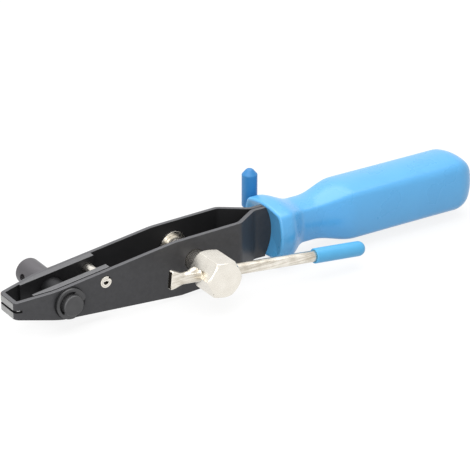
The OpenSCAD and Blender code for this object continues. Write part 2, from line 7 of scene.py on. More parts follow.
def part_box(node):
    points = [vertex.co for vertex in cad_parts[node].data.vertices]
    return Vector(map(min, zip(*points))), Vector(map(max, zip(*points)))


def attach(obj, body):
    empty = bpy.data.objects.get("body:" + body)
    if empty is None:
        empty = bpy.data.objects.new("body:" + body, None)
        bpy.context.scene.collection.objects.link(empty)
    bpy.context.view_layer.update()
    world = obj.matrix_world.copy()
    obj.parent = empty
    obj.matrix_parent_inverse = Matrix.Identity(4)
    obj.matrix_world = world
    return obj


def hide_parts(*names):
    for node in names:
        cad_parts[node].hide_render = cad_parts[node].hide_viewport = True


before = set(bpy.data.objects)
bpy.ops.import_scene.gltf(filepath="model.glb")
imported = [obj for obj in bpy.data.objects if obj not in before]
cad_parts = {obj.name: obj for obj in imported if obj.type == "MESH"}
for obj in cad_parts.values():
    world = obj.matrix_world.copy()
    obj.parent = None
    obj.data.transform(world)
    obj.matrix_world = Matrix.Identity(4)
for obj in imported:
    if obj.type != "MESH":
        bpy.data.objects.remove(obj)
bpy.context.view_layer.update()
scene = bpy.context.scene
mm = 0.001


# Body strip: one strip of 2 mm spring steel, folded round the nose and closed again at the tang.
# It is sheared, folded, drilled and then blackened all over; only the nose face is ground bright
# afterwards, and the sheared edges are tumbled until they are round enough to catch the light. The
# up-facing edges also carry a painted highlight.
def linear(code):
    """A hex sRGB colour as the linear values that a shader wants."""
    parts = [int(code[k:k + 2], 16) / 255 for k in (1, 3, 5)]
    return [c / 12.92 if c <= 0.04045 else ((c + 0.055) / 1.055) ** 2.4 for c in parts] + [1]


def add(tree, kind, inputs=None, **settings):
    """Adds a node: settings first, then each input as a value or as a link from a socket."""
    made = tree.nodes.new(kind)
    for name, value in settings.items():
        setattr(made, name, value)
    for name, value in (inputs or {}).items():
        if isinstance(value, bpy.types.NodeSocket):
            tree.links.new(value, made.inputs[name])
        else:
            made.inputs[name].default_value = value
    return made


def new_material(name):
    """An empty material with its tree and the object coordinates that its patterns read."""
    made = bpy.data.materials.new(name)
    made.use_nodes = True
    made.node_tree.nodes.clear()
    coords = add(made.node_tree, "ShaderNodeTexCoord")
    return made, made.node_tree, coords.outputs["Object"]


def finish_material(tree, colour, roughness, bump_height, bump_distance, constants):
    """Joins colour, roughness and bump to one Principled shader with its constants."""
    bump = add(tree, "ShaderNodeBump", {"Height": bump_height, "Distance": bump_distance,
                                        "Strength": 1.0})
    shader = add(tree, "ShaderNodeBsdfPrincipled", {"Base Color": colour, "Roughness": roughness,
                                                    "Normal": bump.outputs["Normal"]})
    for name, value in constants.items():
        shader.inputs[name].default_value = value
    add(tree, "ShaderNodeOutputMaterial", {"Surface": shader.outputs["BSDF"]})


# Black oxide on spring steel, oiled: nearly black and a little cloudy where the bath was uneven.
# The outer faces are painted dark grey and the inner faces stay nearly black, which is painted
# shade inside the channel; the up-facing top edges carry a painted highlight. The nose is bright,
# and a grinding wheel is a guess at why, and so is where it ends.
black_oxide, tree, place = new_material("black_oxide_steel")
clouds = add(tree, "ShaderNodeTexNoise", {"Vector": place, "Scale": 1 / (9 * mm), "Detail": 3.0})
tint = add(tree, "ShaderNodeMix", {"Factor": clouds.outputs["Fac"], "A": linear("#161617"),
                                   "B": linear("#232325")}, data_type="RGBA")
rub = add(tree, "ShaderNodeTexNoise", {"Vector": place, "Scale": 1 / (2.5 * mm), "Detail": 5.0,
                                       "Roughness": 0.65})
lit_outer_tone = add(tree, "ShaderNodeMix", {"Factor": rub.outputs["Fac"], "A": linear("#3d3d3f"),
                                   "B": linear("#4f4f51")}, data_type="RGBA")
lines = add(tree, "ShaderNodeMapping", {"Vector": place, "Scale": (1.0, 0.06, 1.0)})
wheel = add(tree, "ShaderNodeTexNoise", {"Vector": lines.outputs["Vector"],
                                         "Scale": 1 / (0.35 * mm), "Detail": 2.0})
bright = add(tree, "ShaderNodeMix", {"Factor": wheel.outputs["Fac"], "A": linear("#868687"),
                                     "B": linear("#bcbcba")}, data_type="RGBA")
height = add(tree, "ShaderNodeSeparateXYZ", {"Vector": place})
fade = add(tree, "ShaderNodeMapRange", {"Value": height.outputs["Z"], "From Min": 0.4 * mm,
                                        "From Max": -0.9 * mm, "To Min": 0.66, "To Max": 1.0},
           interpolation_type="SMOOTHSTEP")
ground = add(tree, "ShaderNodeAttribute", attribute_name="ground")
share = add(tree, "ShaderNodeMath", {0: ground.outputs["Fac"], 1: fade.outputs["Result"]},
            operation="MULTIPLY")
# Outer faces take the lighter tone; the nearly black inner faces are painted shade inside the
# channel
lit_outer_face = add(tree, "ShaderNodeAttribute", attribute_name="lit_outer_face")
# The up-facing top edges get a painted highlight in #77777a
edge = add(tree, "ShaderNodeAttribute", attribute_name="top_edge_highlight")
skin = tint
for factor, colour in ((lit_outer_face.outputs["Fac"], lit_outer_tone.outputs["Result"]),
                       (edge.outputs["Fac"], linear("#77777a")),
                       (share.outputs["Value"], bright.outputs["Result"])):
    skin = add(tree, "ShaderNodeMix", {"Factor": factor, "A": skin.outputs["Result"],
                                       "B": colour}, data_type="RGBA")
gloss = add(tree, "ShaderNodeMapRange", {"Value": rub.outputs["Fac"], "To Min": 0.34,
                                         "To Max": 0.46})
gloss = add(tree, "ShaderNodeMapRange", {"Value": lit_outer_face.outputs["Fac"], "To Min": 0.6,
                                         "To Max": gloss.outputs["Result"]})
# The tumbled grain is about 0.1 mm and is drawn 0.3 mm wide, so that it shows
grain = add(tree, "ShaderNodeTexNoise", {"Vector": place, "Scale": 1 / (0.3 * mm), "Detail": 2.0})
finish_material(tree, skin.outputs["Result"], gloss.outputs["Result"], grain.outputs["Fac"],
                0.012 * mm, {"Metallic": 0.25, "IOR": 1.33})


def merged_copy(node_name, name):
    """A copy of a CAD piece's mesh, merged, with its flat faces whole again."""
    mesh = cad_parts[node_name].data.copy()
    mesh.name = name
    mesh.materials.clear()
    work = bmesh.new()
    work.from_mesh(mesh)
    bmesh.ops.remove_doubles(work, verts=work.verts, dist=0.002 * mm)
    bmesh.ops.dissolve_limit(work, angle_limit=math.radians(0.4), verts=work.verts,
                             edges=work.edges, use_dissolve_boundaries=False)
    work.to_mesh(mesh)
    work.free()
    piece = bpy.data.objects.new(name, mesh)
    scene.collection.objects.link(piece)
    return piece


def settle(piece):
    """Turns what the piece's modifiers make into its own mesh."""
    graph = bpy.context.evaluated_depsgraph_get()
    mesh = bpy.data.meshes.new_from_object(piece.evaluated_get(graph))
    piece.modifiers.clear()
    piece.data = mesh


def round_edges(piece, width, segments=2, sharper_than=28, leave=lambda edge: False):
    """Rounds the edges that are sharper than an angle, and shades the rest smooth."""
    work = bmesh.new()
    work.from_mesh(piece.data)
    weight = work.edges.layers.float.new("bevel_weight_edge")
    for edge in work.edges:
        edge[weight] = float(edge.calc_face_angle(0) > math.radians(sharper_than)
                             and not leave(edge))
    work.to_mesh(piece.data)
    work.free()
    bevel = piece.modifiers.new("edges", "BEVEL")
    bevel.width = width
    bevel.segments = segments
    bevel.limit_method = "WEIGHT"
    bevel.use_clamp_overlap = False
    bevel.miter_outer = "MITER_ARC"
    settle(piece)
    shade(piece, 40)
    flat = piece.modifiers.new("flat faces", "WEIGHTED_NORMAL")
    flat.keep_sharp = True
    settle(piece)


def shade(piece, degrees):
    """Smooth shading up to an angle, over which an edge stays sharp."""
    piece.data.polygons.foreach_set("use_smooth", [True] * len(piece.data.polygons))
    piece.data.set_sharp_from_angle(angle=math.radians(degrees))


def place_on(piece, body, slot, material, *nodes):
    """Gives the piece its material, its body and the CAD nodes that it stands for."""
    piece.data.materials.clear()
    piece.data.materials.append(material)
    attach(piece, body)
    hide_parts(*nodes)


def mark_faces(piece, name, test):
    """Writes 1 on the faces that pass the test and 0 on the others, for the material to read."""
    values = piece.data.attributes.new(name, "FLOAT", "FACE")
    values.data.foreach_set("value", [float(test(f)) for f in piece.data.polygons])


# The nose slot's edges stay sharp: rounded, they open a bright gap through the wall at its ends
slot_z, slot_h = -3.9 * mm, 1.2 * mm
body = merged_copy("body_strip", "body_shell")
round_edges(body, 0.25 * mm, leave=lambda edge: all(
    v.co.x < -80 * mm and abs(v.co.z - slot_z) < 0.6 * slot_h for v in edge.verts))
nose_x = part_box("body_strip")[0].x
mark_faces(body, "ground", lambda f: f.center.x < nose_x + 0.6 * mm and f.normal.x < -0.97)
# Faces that look up get a painted highlight, at 0.6 of the light edge colour
mark_faces(body, "top_edge_highlight", lambda f: f.normal.z > 0.6 and f.center.z > -0.5 * mm and 0.6)
# The outer faces get the lighter tone, and the inner faces are left dark as painted shade of the
# channel
mark_faces(body, "lit_outer_face", lambda f: f.normal.y * f.center.y > 0 and abs(f.normal.y) > 0.2)
place_on(body, "frame", "black_steel", black_oxide, "body_strip")


# Side plates: two hardened plates inside the walls at the nose, one on each side of the band.
# Blanked from tool steel, left with a grey oil-quenched skin, and held by the spring pin.
quenched, tree, place = new_material("oil_quenched_plate")
clouds = add(tree, "ShaderNodeTexNoise", {"Vector": place, "Scale": 1 / (5 * mm), "Detail": 4.0})
tint = add(tree, "ShaderNodeMix", {"Factor": clouds.outputs["Fac"], "A": linear("#1f1f21"),
                                   "B": linear("#2f2f31")}, data_type="RGBA")
# Faces that look up are painted lighter: a painted highlight of the light from above
edge = add(tree, "ShaderNodeAttribute", attribute_name="top_edge_highlight")
skin = add(tree, "ShaderNodeMix", {"Factor": edge.outputs["Fac"], "A": tint.outputs["Result"],
                                   "B": linear("#727274")}, data_type="RGBA")
gloss = add(tree, "ShaderNodeMapRange", {"Value": clouds.outputs["Fac"], "To Min": 0.38,
                                         "To Max": 0.52})
grain = add(tree, "ShaderNodeTexNoise", {"Vector": place, "Scale": 1 / (0.3 * mm), "Detail": 2.0})
finish_material(tree, skin.outputs["Result"], gloss.outputs["Result"], grain.outputs["Fac"],
                0.008 * mm, {"Metallic": 0.6})
for side in ("near", "far"):
    plate = merged_copy(side + "_side_plate", side + "_plate")
    round_edges(plate, 0.2 * mm)
    # The faces that look up get the painted highlight, at 0.75
    mark_faces(plate, "top_edge_highlight", lambda f: f.normal.z > 0.6 and 0.75)
    place_on(plate, "frame", "plate_steel", quenched, side + "_side_plate")


# Cutter bush: a hardened tube pressed across both side plates round the cutter shaft. The edges of
# its windows are the fixed blade, so it is turned and ground, and dark from the quench.
turned_steel, tree, place = new_material("turned_tool_steel")
rings = add(tree, "ShaderNodeMapping", {"Vector": place, "Scale": (0.05, 1.0, 0.05)})
cuts = add(tree, "ShaderNodeTexNoise", {"Vector": rings.outputs["Vector"],
                                        "Scale": 1 / (0.4 * mm), "Detail": 3.0})
clouds = add(tree, "ShaderNodeTexNoise", {"Vector": place, "Scale": 1 / (4 * mm), "Detail": 3.0})
tint = add(tree, "ShaderNodeMix", {"Factor": clouds.outputs["Fac"], "A": linear("#4a4a4b"),
                                   "B": linear("#5b5b5c")}, data_type="RGBA")
# The knob's side is a little warmer than the end disc in the photo; wear is a guess at why
grip = add(tree, "ShaderNodeAttribute", attribute_name="handled")
tint = add(tree, "ShaderNodeMix", {"Factor": grip.outputs["Fac"], "A": tint.outputs["Result"],
                                   "B": linear("#605e61")}, data_type="RGBA")
gloss = add(tree, "ShaderNodeMapRange", {"Value": cuts.outputs["Fac"], "To Min": 0.36,
                                         "To Max": 0.5})
finish_material(tree, tint.outputs["Result"], gloss.outputs["Result"], cuts.outputs["Fac"],
                0.006 * mm, {"Metallic": 0.7})
bush = merged_copy("cutter_bush", "blade_bush")
round_edges(bush, 0.12 * mm)
place_on(bush, "frame", "tool_steel", quenched, "cutter_bush")


# Spring pin: coiled from nickel-plated spring steel strip, driven through the walls and the side
# plates, where it tries to uncoil and so holds itself. Its ends show the coil's turns.
nickel, tree, place = new_material("satin_nickel_plate")
clouds = add(tree, "ShaderNodeTexNoise", {"Vector": place, "Scale": 1 / (6 * mm), "Detail": 4.0})
tint = add(tree, "ShaderNodeMix", {"Factor": clouds.outputs["Fac"], "A": linear("#ddd7cc"),
                                   "B": linear("#f4f0e7")}, data_type="RGBA")
scuffs = add(tree, "ShaderNodeTexNoise", {"Vector": place, "Scale": 1 / (1.2 * mm),
                                          "Detail": 5.0, "Roughness": 0.6})
gloss = add(tree, "ShaderNodeMapRange", {"Value": scuffs.outputs["Fac"], "From Min": 0.35,
                                         "From Max": 0.7, "To Min": 0.2, "To Max": 0.32})
# The plating follows the waves of the cut steel under it, a few millimetres long
waves = add(tree, "ShaderNodeTexNoise", {"Vector": place, "Scale": 1 / (3 * mm), "Detail": 1.0})
finish_material(tree, tint.outputs["Result"], gloss.outputs["Result"], waves.outputs["Fac"],
                0.03 * mm, {"Metallic": 1.0})


def polyline(name, points, closed):
    """A mesh of bare edges through the points, for a node tree to read as a path."""
    mesh = bpy.data.meshes.new(name)
    last = len(points)
    pairs = [(k, (k + 1) % last) for k in range(last if closed else last - 1)]
    mesh.from_pydata(points, pairs, [])
    made = bpy.data.objects.new(name, mesh)
    scene.collection.objects.link(made)
    return made


def new_tree(name, **sockets):
    """A geometry node tree with a mesh in, a mesh out and a named input for each size."""
    made = bpy.data.node_groups.new(name, "GeometryNodeTree")
    made.interface.new_socket("Geometry", in_out="INPUT", socket_type="NodeSocketGeometry")
    made.interface.new_socket("Geometry", in_out="OUTPUT", socket_type="NodeSocketGeometry")
    for label, kind in sockets.items():
        made.interface.new_socket(label, in_out="INPUT", socket_type="NodeSocket" + kind)
    return made, add(made, "NodeGroupInput").outputs


def run_tree(piece, made, **values):
    """Runs the tree on the piece with each input set by its identifier, and keeps the mesh."""
    live = piece.modifiers.new("build", "NODES")
    live.node_group = made
    for item in made.interface.items_tree:
        if item.in_out == "INPUT" and item.name in values:
            live[item.identifier] = values[item.name]
    settle(piece)


def tidy_mesh(piece):
    """Merges doubles and turns every face outwards."""
    work = bmesh.new()
    work.from_mesh(piece.data)
    bmesh.ops.remove_doubles(work, verts=work.verts, dist=0.001 * mm)
    bmesh.ops.recalc_face_normals(work, faces=work.faces)
    work.to_mesh(piece.data)
    work.free()


# The tree sweeps the strip's cross-section along the coil, drawn flat, and stands it across the
# body at the pin's hole
coil, given = new_tree("coiled_pin", Strip="Float", Length="Float", Place="Vector",
                       Finish="Material")
path = add(coil, "GeometryNodeMeshToCurve", {"Mesh": given["Geometry"]})
upright = add(coil, "GeometryNodeSetCurveNormal", {"Curve": path.outputs["Curve"]}, mode="Z_UP")
strip = add(coil, "GeometryNodeCurvePrimitiveQuadrilateral", {"Width": given["Strip"],
                                                              "Height": given["Length"]})
skin = add(coil, "GeometryNodeCurveToMesh", {"Curve": upright.outputs["Curve"],
                                             "Profile Curve": strip.outputs["Curve"],
                                             "Fill Caps": True})
stood = add(coil, "GeometryNodeTransform", {"Geometry": skin.outputs["Mesh"],
                                            "Translation": given["Place"],
                                            "Rotation": (math.pi / 2, 0, 0)})
whole = add(coil, "GeometryNodeRealizeInstances", {"Geometry": stood.outputs["Geometry"]})
dressed = add(coil, "GeometryNodeSetMaterial", {"Geometry": whole.outputs["Geometry"],
                                                "Material": given["Finish"]})
add(coil, "NodeGroupOutput", {"Geometry": dressed.outputs["Geometry"]})

pin_r, pin_strip, pin_gap, pin_len = 2.7 * mm, 0.7 * mm, 0.06 * mm, 22.4 * mm


def ease(share):
    """A smooth step from 0 to 1."""
    return (1 - math.cos(math.pi * share)) / 2


def coil_point(degrees):
    """A point in the middle of the strip: every turn ends one thickness further in."""
    turns, step = degrees // 360, max(0, (degrees % 360 - 300) / 60)
    r = pin_r - pin_strip / 2 - (pin_strip + pin_gap) * (turns + ease(step))
    a = math.radians(degrees + 55)
    return (r * math.cos(a), r * math.sin(a), 0)


pin = polyline("spring_pin", [coil_point(6 * k) for k in range(139)], False)
run_tree(pin, coil, Strip=pin_strip, Length=pin_len, Place=(-45.6 * mm, 0, 1.1 * mm),
         Finish=nickel)
tidy_mesh(pin)
round_edges(pin, 0.1 * mm)
place_on(pin, "frame", "nickel", nickel, "roll_pin")


# Handle: moulded in one shot of blue plastic over the tang and tongue of the strip. A square
# section with bulged sides runs from a dished flange through a slim neck to a thick grip.
moulded, tree, place = new_material("moulded_blue_plastic")
clouds = add(tree, "ShaderNodeTexNoise", {"Vector": place, "Scale": 1 / (14 * mm), "Detail": 3.0})
tint = add(tree, "ShaderNodeMix", {"Factor": clouds.outputs["Fac"], "A": linear("#55a9e2"),
                                   "B": linear("#5fb2ea")}, data_type="RGBA")
# The mould's spark-eroded grain is near 0.15 mm and is drawn 0.5 mm wide, so that it shows
grain = add(tree, "ShaderNodeTexNoise", {"Vector": place, "Scale": 1 / (0.5 * mm), "Detail": 2.0})
gloss = add(tree, "ShaderNodeMapRange", {"Value": clouds.outputs["Fac"], "To Min": 0.24,
                                         "To Max": 0.32})
finish_material(tree, tint.outputs["Result"], gloss.outputs["Result"], grain.outputs["Fac"],
                0.004 * mm, {"Metallic": 0.0, "IOR": 1.57})

front_x, handle_len, dish_depth = 43.6 * mm, 115.6 * mm, 3 * mm
flange_w, flange_h, rim_r = 16 * mm, 12.9 * mm, 1.2 * mm
neck_half, grip_half, tail_half = 9.6 * mm, 13.6 * mm, 13.9 * mm
side_r, corner_r, tail_corner_r = 32 * mm, 3.6 * mm, 6.5 * mm
neck_start, swell_start, grip_start = 17.7 * mm, 22.7 * mm, 44.7 * mm
flange_len, dome_len, dome_round = 5.2 * mm, 12 * mm, 11 * mm


def handle_stations():
    """Distance behind the rim, half width and half height, from the dish to the rounded end."""
    rows = [(dish_depth * (1 - s * s), (flange_w - rim_r) * s, (flange_h - rim_r) * s)
            for s in [0.06 + 0.94 * k / 14 for k in range(14)]]
    rows += [(rim_r * (1 - math.cos(a)), flange_w - rim_r * (1 - math.sin(a)),
              flange_h - rim_r * (1 - math.sin(a)))
             for a in [math.radians(15 * k) for k in range(7)]]
    rows += [(flange_len + (neck_start - flange_len) * k / 22,
              flange_w - (flange_w - neck_half) * ease(k / 22),
              flange_h - (flange_h - neck_half) * ease(k / 22)) for k in range(23)]
    grown = [(swell_start + (grip_start - swell_start) * k / 28,
              neck_half + (grip_half - neck_half) * ease(k / 28)) for k in range(29)]
    tail = handle_len - dome_len
    grown += [(grip_start + (tail - grip_start) * k / 12,
               grip_half + (tail_half - grip_half) * k / 12) for k in range(1, 12)]
    grown += [(tail + dome_len * math.sin(a), tail_half - dome_round * (1 - math.cos(a)))
              for a in [math.radians(90 * k / 18) for k in range(19)]]
    return rows + [(x, half, half) for x, half in grown]


def bulged_square(corner, side_steps=12, corner_steps=10):
    """One closed section, one unit wide by half: four bulged sides joined by round corners."""
    r, q = side_r / grip_half, corner / grip_half
    a = r - 1
    c = (math.sqrt(2 * (r - q) ** 2 - a * a) - a) / 2
    turn = math.asin(c / (r - q))
    quarter = [(r * math.cos(2 * turn * k / side_steps) - a,
                r * math.sin(2 * turn * k / side_steps))
               for k in range(-side_steps // 2, side_steps // 2)]
    quarter += [(c + q * math.cos(b), c + q * math.sin(b)) for b in
                [turn + (math.pi / 2 - 2 * turn) * k / corner_steps for k in range(corner_steps)]]
    return [Matrix.Rotation(math.pi / 2 * n, 2) @ Vector(p) for n in range(4) for p in quarter]


# The tree sweeps a tight and a soft section along the stations, blends the two and then sets every
# ring to its station's own place, width and height, so that the flange can be wider than high
sweep, given = new_tree("swept_handle", Tight="Object", Soft="Object", Finish="Material")
path = add(sweep, "GeometryNodeMeshToCurve", {"Mesh": given["Geometry"]})
upright = add(sweep, "GeometryNodeSetCurveNormal", {"Curve": path.outputs["Curve"]}, mode="Z_UP")
tubes = []
for label in ("Tight", "Soft"):
    section = add(sweep, "GeometryNodeObjectInfo", {"Object": given[label]})
    outline = add(sweep, "GeometryNodeMeshToCurve", {"Mesh": section.outputs["Geometry"]})
    tubes.append(add(sweep, "GeometryNodeCurveToMesh", {"Curve": upright.outputs["Curve"],
                                                        "Profile Curve": outline.outputs["Curve"],
                                                        "Fill Caps": True}).outputs["Mesh"])
here = add(sweep, "GeometryNodeInputPosition").outputs["Position"]
index = add(sweep, "GeometryNodeInputIndex").outputs["Index"]
soft = add(sweep, "GeometryNodeSampleIndex", {"Geometry": tubes[1], "Value": here, "Index": index},
           data_type="FLOAT_VECTOR", domain="POINT")
station = [add(sweep, "GeometryNodeInputNamedAttribute", {"Name": name},
               data_type="FLOAT").outputs["Attribute"]
           for name in ("softness", "station_x", "half_width", "half_height")]
blend = add(sweep, "ShaderNodeMix", {"Factor": station[0], "A": here, "B": soft.outputs["Value"]},
            data_type="VECTOR")
unit = add(sweep, "ShaderNodeSeparateXYZ", {"Vector": blend.outputs["Result"]})
wide = add(sweep, "ShaderNodeMath", {0: unit.outputs["Y"], 1: station[2]}, operation="MULTIPLY")
high = add(sweep, "ShaderNodeMath", {0: unit.outputs["Z"], 1: station[3]}, operation="MULTIPLY")
place = add(sweep, "ShaderNodeCombineXYZ", {"X": station[1], "Y": wide.outputs["Value"],
                                            "Z": high.outputs["Value"]})
shaped = add(sweep, "GeometryNodeSetPosition", {"Geometry": tubes[0],
                                                "Position": place.outputs["Vector"]})
whole = add(sweep, "GeometryNodeRealizeInstances", {"Geometry": shaped.outputs["Geometry"]})
dressed = add(sweep, "GeometryNodeSetMaterial", {"Geometry": whole.outputs["Geometry"],
                                                 "Material": given["Finish"]})
add(sweep, "NodeGroupOutput", {"Geometry": dressed.outputs["Geometry"]})

rows = handle_stations()
sections = [polyline(name, [(p.x, p.y, 0) for p in bulged_square(corner)], True)
            for name, corner in (("tight_section", corner_r), ("soft_section", tail_corner_r))]
handle = polyline("moulded_handle", [(k, 0, 0) for k in range(len(rows))], False)
softness = [ease(max(0, min(1, (x - swell_start) / (handle_len - dome_len - swell_start))))
            for x, _, _ in rows]
for name, values in (("softness", softness), ("station_x", [front_x + x for x, _, _ in rows]),
                     ("half_width", [w for _, w, _ in rows]),
                     ("half_height", [h for _, _, h in rows])):
    handle.data.attributes.new(name, "FLOAT", "POINT").data.foreach_set("value", values)
run_tree(handle, sweep, Tight=sections[0], Soft=sections[1], Finish=moulded)
for section in sections:
    bpy.data.objects.remove(section)
tidy_mesh(handle)

# The plastic was shot round the strip, so the pocket is the strip's own shape
pocket_w, tongue_h, tongue_len = 4.58 * mm, 13 * mm, 64 * mm
for low, high in (((front_x - 2 * mm, -pocket_w / 2, -tongue_h / 2 - 0.02 * mm),
                   (front_x + tongue_len + 0.02 * mm, pocket_w / 2, tongue_h / 2 + 0.02 * mm)),
                  ((front_x - 2 * mm, -pocket_w / 2, -11.7 * mm),
                   (front_x + dish_depth + 0.02 * mm, pocket_w / 2, 11.52 * mm))):
    block = bpy.data.meshes.new("pocket")
    work = bmesh.new()
    bmesh.ops.create_cube(work, size=1.0)
    for v in work.verts:
        v.co = [low[n] + (high[n] - low[n]) * (v.co[n] + 0.5) for n in range(3)]
    work.to_mesh(block)
    work.free()
    cutter = bpy.data.objects.new("pocket", block)
    scene.collection.objects.link(cutter)
    cut = handle.modifiers.new("pocket", "BOOLEAN")
    cut.operation = "DIFFERENCE"
    cut.object = cutter
    settle(handle)
    bpy.data.objects.remove(cutter)
shade(handle, 35)

place_on(handle, "frame", "blue_handle", moulded, "handle")


# Winding spindle: turned and milled from one bar, hexagon head, neck, slotted barrel and journal,
# then nickel plated. A faint ring on the photo's end face is taken for the lathe's centre mark.
spindle = merged_copy("winding_spindle", "spindle")
work = bmesh.new()
bmesh.ops.create_cone(work, cap_ends=True, segments=32, radius1=1.5 * mm, radius2=0.2 * mm,
                      depth=0.25 * mm)
bmesh.ops.transform(work, verts=work.verts, matrix=Matrix.Translation(
    (0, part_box("winding_spindle")[0].y + 0.1 * mm, 0)) @ Matrix.Rotation(-math.pi / 2, 4, "X"))
mesh = bpy.data.meshes.new("centre_mark")
work.to_mesh(mesh)
work.free()
mark = bpy.data.objects.new("centre_mark", mesh)
scene.collection.objects.link(mark)
round_edges(spindle, 0.1 * mm)
cut = spindle.modifiers.new("centre mark", "BOOLEAN")
cut.operation = "DIFFERENCE"
cut.object = mark
settle(spindle)
bpy.data.objects.remove(mark)
place_on(spindle, "spindle", "nickel", nickel, "winding_spindle")


# Washers and rings: stamped steel. The thrust washer behind the barrel is plated, the two shims on
# the cutter are blackened, the spindle's outer washer takes the turned tool steel finish, and the
# two open rings are hardened and pushed into their grooves from the side.
for node_name, name, body_name, slot_name, finish in (
        ("thrust_washer", "inner_washer", "spindle", "nickel", nickel),
        ("journal_washer", "outer_washer", "spindle", "tool_steel", turned_steel),
        ("spindle_ring", "spindle_clip", "spindle", "tool_steel", turned_steel),
        ("cutter_washer", "cutter_shim", "cutter", "black_steel", black_oxide),
        ("cutter_ring", "cutter_clip", "cutter", "tool_steel", turned_steel),
        ("knob_washer", "knob_shim", "cutter", "black_steel", black_oxide)):
    ring = merged_copy(node_name, name)
    round_edges(ring, 0.12 * mm)
    place_on(ring, body_name, slot_name, finish, node_name)


# Sliding bar: cold-drawn round bar, hammered flat and wide at one end and staked up to a barb near
# the head, so that it can't slide out. Nickel plated like the spindle.
drawn_nickel, tree, place = new_material("nickel_plate_on_drawn_bar")
clouds = add(tree, "ShaderNodeTexNoise", {"Vector": place, "Scale": 1 / (6 * mm), "Detail": 4.0})
# The die leaves fine lines along the bar, 0.05 mm apart and drawn 0.6 mm wide, so that they show
along = add(tree, "ShaderNodeMapping", {"Vector": place, "Rotation": (0, math.radians(-6), 0),
                                        "Scale": (0.03, 1.0, 1.0)})
lines = add(tree, "ShaderNodeTexNoise", {"Vector": along.outputs["Vector"],
                                         "Scale": 1 / (0.6 * mm), "Detail": 2.0})
mixed = add(tree, "ShaderNodeMath", {0: clouds.outputs["Fac"], 1: lines.outputs["Fac"]},
            operation="MULTIPLY")
tint = add(tree, "ShaderNodeMapRange", {"Value": mixed.outputs["Value"], "From Min": 0.12,
                                        "From Max": 0.36})
tint = add(tree, "ShaderNodeMix", {"Factor": tint.outputs["Result"], "A": linear("#bfb7a8"),
                                   "B": linear("#f2ede3")}, data_type="RGBA")
# The end face of the flat is dark in the photo. A bare sheared face is a guess at why
sheared = add(tree, "ShaderNodeAttribute", attribute_name="sheared")
tint = add(tree, "ShaderNodeMix", {"Factor": sheared.outputs["Fac"], "A": tint.outputs["Result"],
                                   "B": linear("#5c564e")}, data_type="RGBA")
gloss = add(tree, "ShaderNodeMapRange", {"Value": lines.outputs["Fac"], "To Min": 0.2,
                                         "To Max": 0.36})
finish_material(tree, tint.outputs["Result"], gloss.outputs["Result"], lines.outputs["Fac"],
                0.008 * mm, {"Metallic": 1.0})

bar_r, bar_tilt, bar_y = 2.65 * mm, math.radians(6), 27.0 * mm
front, flat_len, flat_h, flat_t = -23 * mm, 6.6 * mm, 8.5 * mm, 3.2 * mm
bar_end = 79 * mm


def loft(name, rings):
    """A closed skin over rings of equally many points, with a flat face at each end."""
    count = len(rings[0])
    points = [p for ring in rings for p in ring]
    faces = [[i * count + j, i * count + (j + 1) % count, (i + 1) * count + (j + 1) % count,
              (i + 1) * count + j] for i in range(len(rings) - 1) for j in range(count)]
    faces += [list(range(count))[::-1], [(len(rings) - 1) * count + j for j in range(count)]]
    mesh = bpy.data.meshes.new(name)
    mesh.from_pydata(points, [], faces)
    work = bmesh.new()
    work.from_mesh(mesh)
    bmesh.ops.recalc_face_normals(work, faces=work.faces)
    work.to_mesh(mesh)
    work.free()
    made = bpy.data.objects.new(name, mesh)
    scene.collection.objects.link(made)
    return made


def bar_ring(x, half_t, half_h, squareness, steps=56):
    """One section across the bar at x: round when the squareness is 2, boxier above that."""
    ring = []
    for k in range(steps):
        a = 2 * math.pi * k / steps
        c, s = math.cos(a), math.sin(a)
        ring.append(Vector((x, half_t * math.copysign(abs(c) ** (2 / squareness), c),
                            half_h * math.copysign(abs(s) ** (2 / squareness), s))))
    return ring


on_bar = Matrix.Rotation(bar_tilt, 4, "Y") @ Matrix.Translation((0, -bar_y, 0))
rings = [bar_ring(front, flat_t / 2 - 0.4 * mm, flat_h / 2 - 0.4 * mm, 7),
         bar_ring(front + 0.15 * mm, flat_t / 2 - 0.1 * mm, flat_h / 2 - 0.1 * mm, 7),
         bar_ring(front + 0.45 * mm, flat_t / 2, flat_h / 2, 7)]
for k in range(1, 13):
    s = ease(k / 12)
    rings.append(bar_ring(front + 0.45 * mm + (flat_len - 0.45 * mm) * k / 12,
                          flat_t / 2 + (bar_r - flat_t / 2) * s,
                          flat_h / 2 + (bar_r - flat_h / 2) * s, 7 + (2 - 7) * s ** 0.5))
rings += [bar_ring(x, bar_r, bar_r, 2) for x in (-12 * mm, 0, 40 * mm, bar_end - 0.4 * mm)]
rings.append(bar_ring(bar_end, bar_r - 0.4 * mm, bar_r - 0.4 * mm, 2))
bar = loft("t_bar", rings)
barb_x = -10.55 * mm
barb_side = [(-3.4, 2.0), (-2.9, 2.75), (-1.6, 3.5), (-0.4, 4.05), (0.3, 4.2), (0.8, 4.0),
             (1.0, 3.5), (0.6, 2.9), (-0.2, 2.0)]
barb = loft("barb", [[Vector((barb_x + x * mm, y, z * mm)) for x, z in barb_side]
                     for y in (-1.3 * mm, 1.3 * mm)])
round_edges(barb, 0.3 * mm, segments=3, sharper_than=60)
join = bar.modifiers.new("barb", "BOOLEAN")
join.operation = "UNION"
join.object = barb
settle(bar)
bpy.data.objects.remove(barb)
tidy_mesh(bar)
shade(bar, 35)
mark_faces(bar, "sheared", lambda f: f.center.x < 0 and f.normal.x < -0.9)
bar.data.transform(on_bar)
place_on(bar, "bar", "nickel", drawn_nickel, "sliding_bar")


